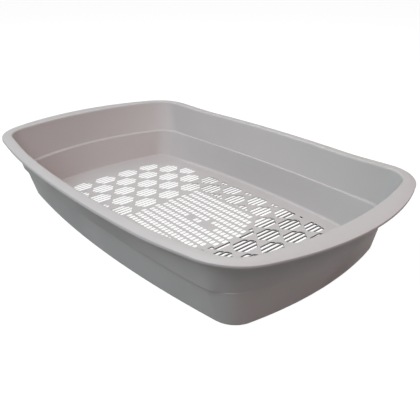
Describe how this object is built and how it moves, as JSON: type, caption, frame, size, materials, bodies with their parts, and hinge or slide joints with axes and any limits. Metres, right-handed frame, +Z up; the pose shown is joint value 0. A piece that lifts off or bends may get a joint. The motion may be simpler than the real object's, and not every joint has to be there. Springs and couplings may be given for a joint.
{
  "type": "sifting litter box",
  "caption": "Oblong litter tray with drafted, stepped walls, a turned-out rim and a perforated floor, through which clean litter sifts when the tray is lifted.",
  "frame": {"origin": "centre of the tray in plan, at the level of its underside", "axes": "+X along the tray's length, +Y across it, +Z up out of its open top"},
  "size_m": [0.48, 0.298, 0.0805],
  "materials": {
    "shell_plastic": "satin moulded plastic, pale warm grey",
    "sieve_plastic": "satin moulded plastic, pale warm grey"
  },
  "bodies": {
    "root": {"tray_shell": "shell_plastic", "sieve_floor": "sieve_plastic"}
  },
  "joints": []
}
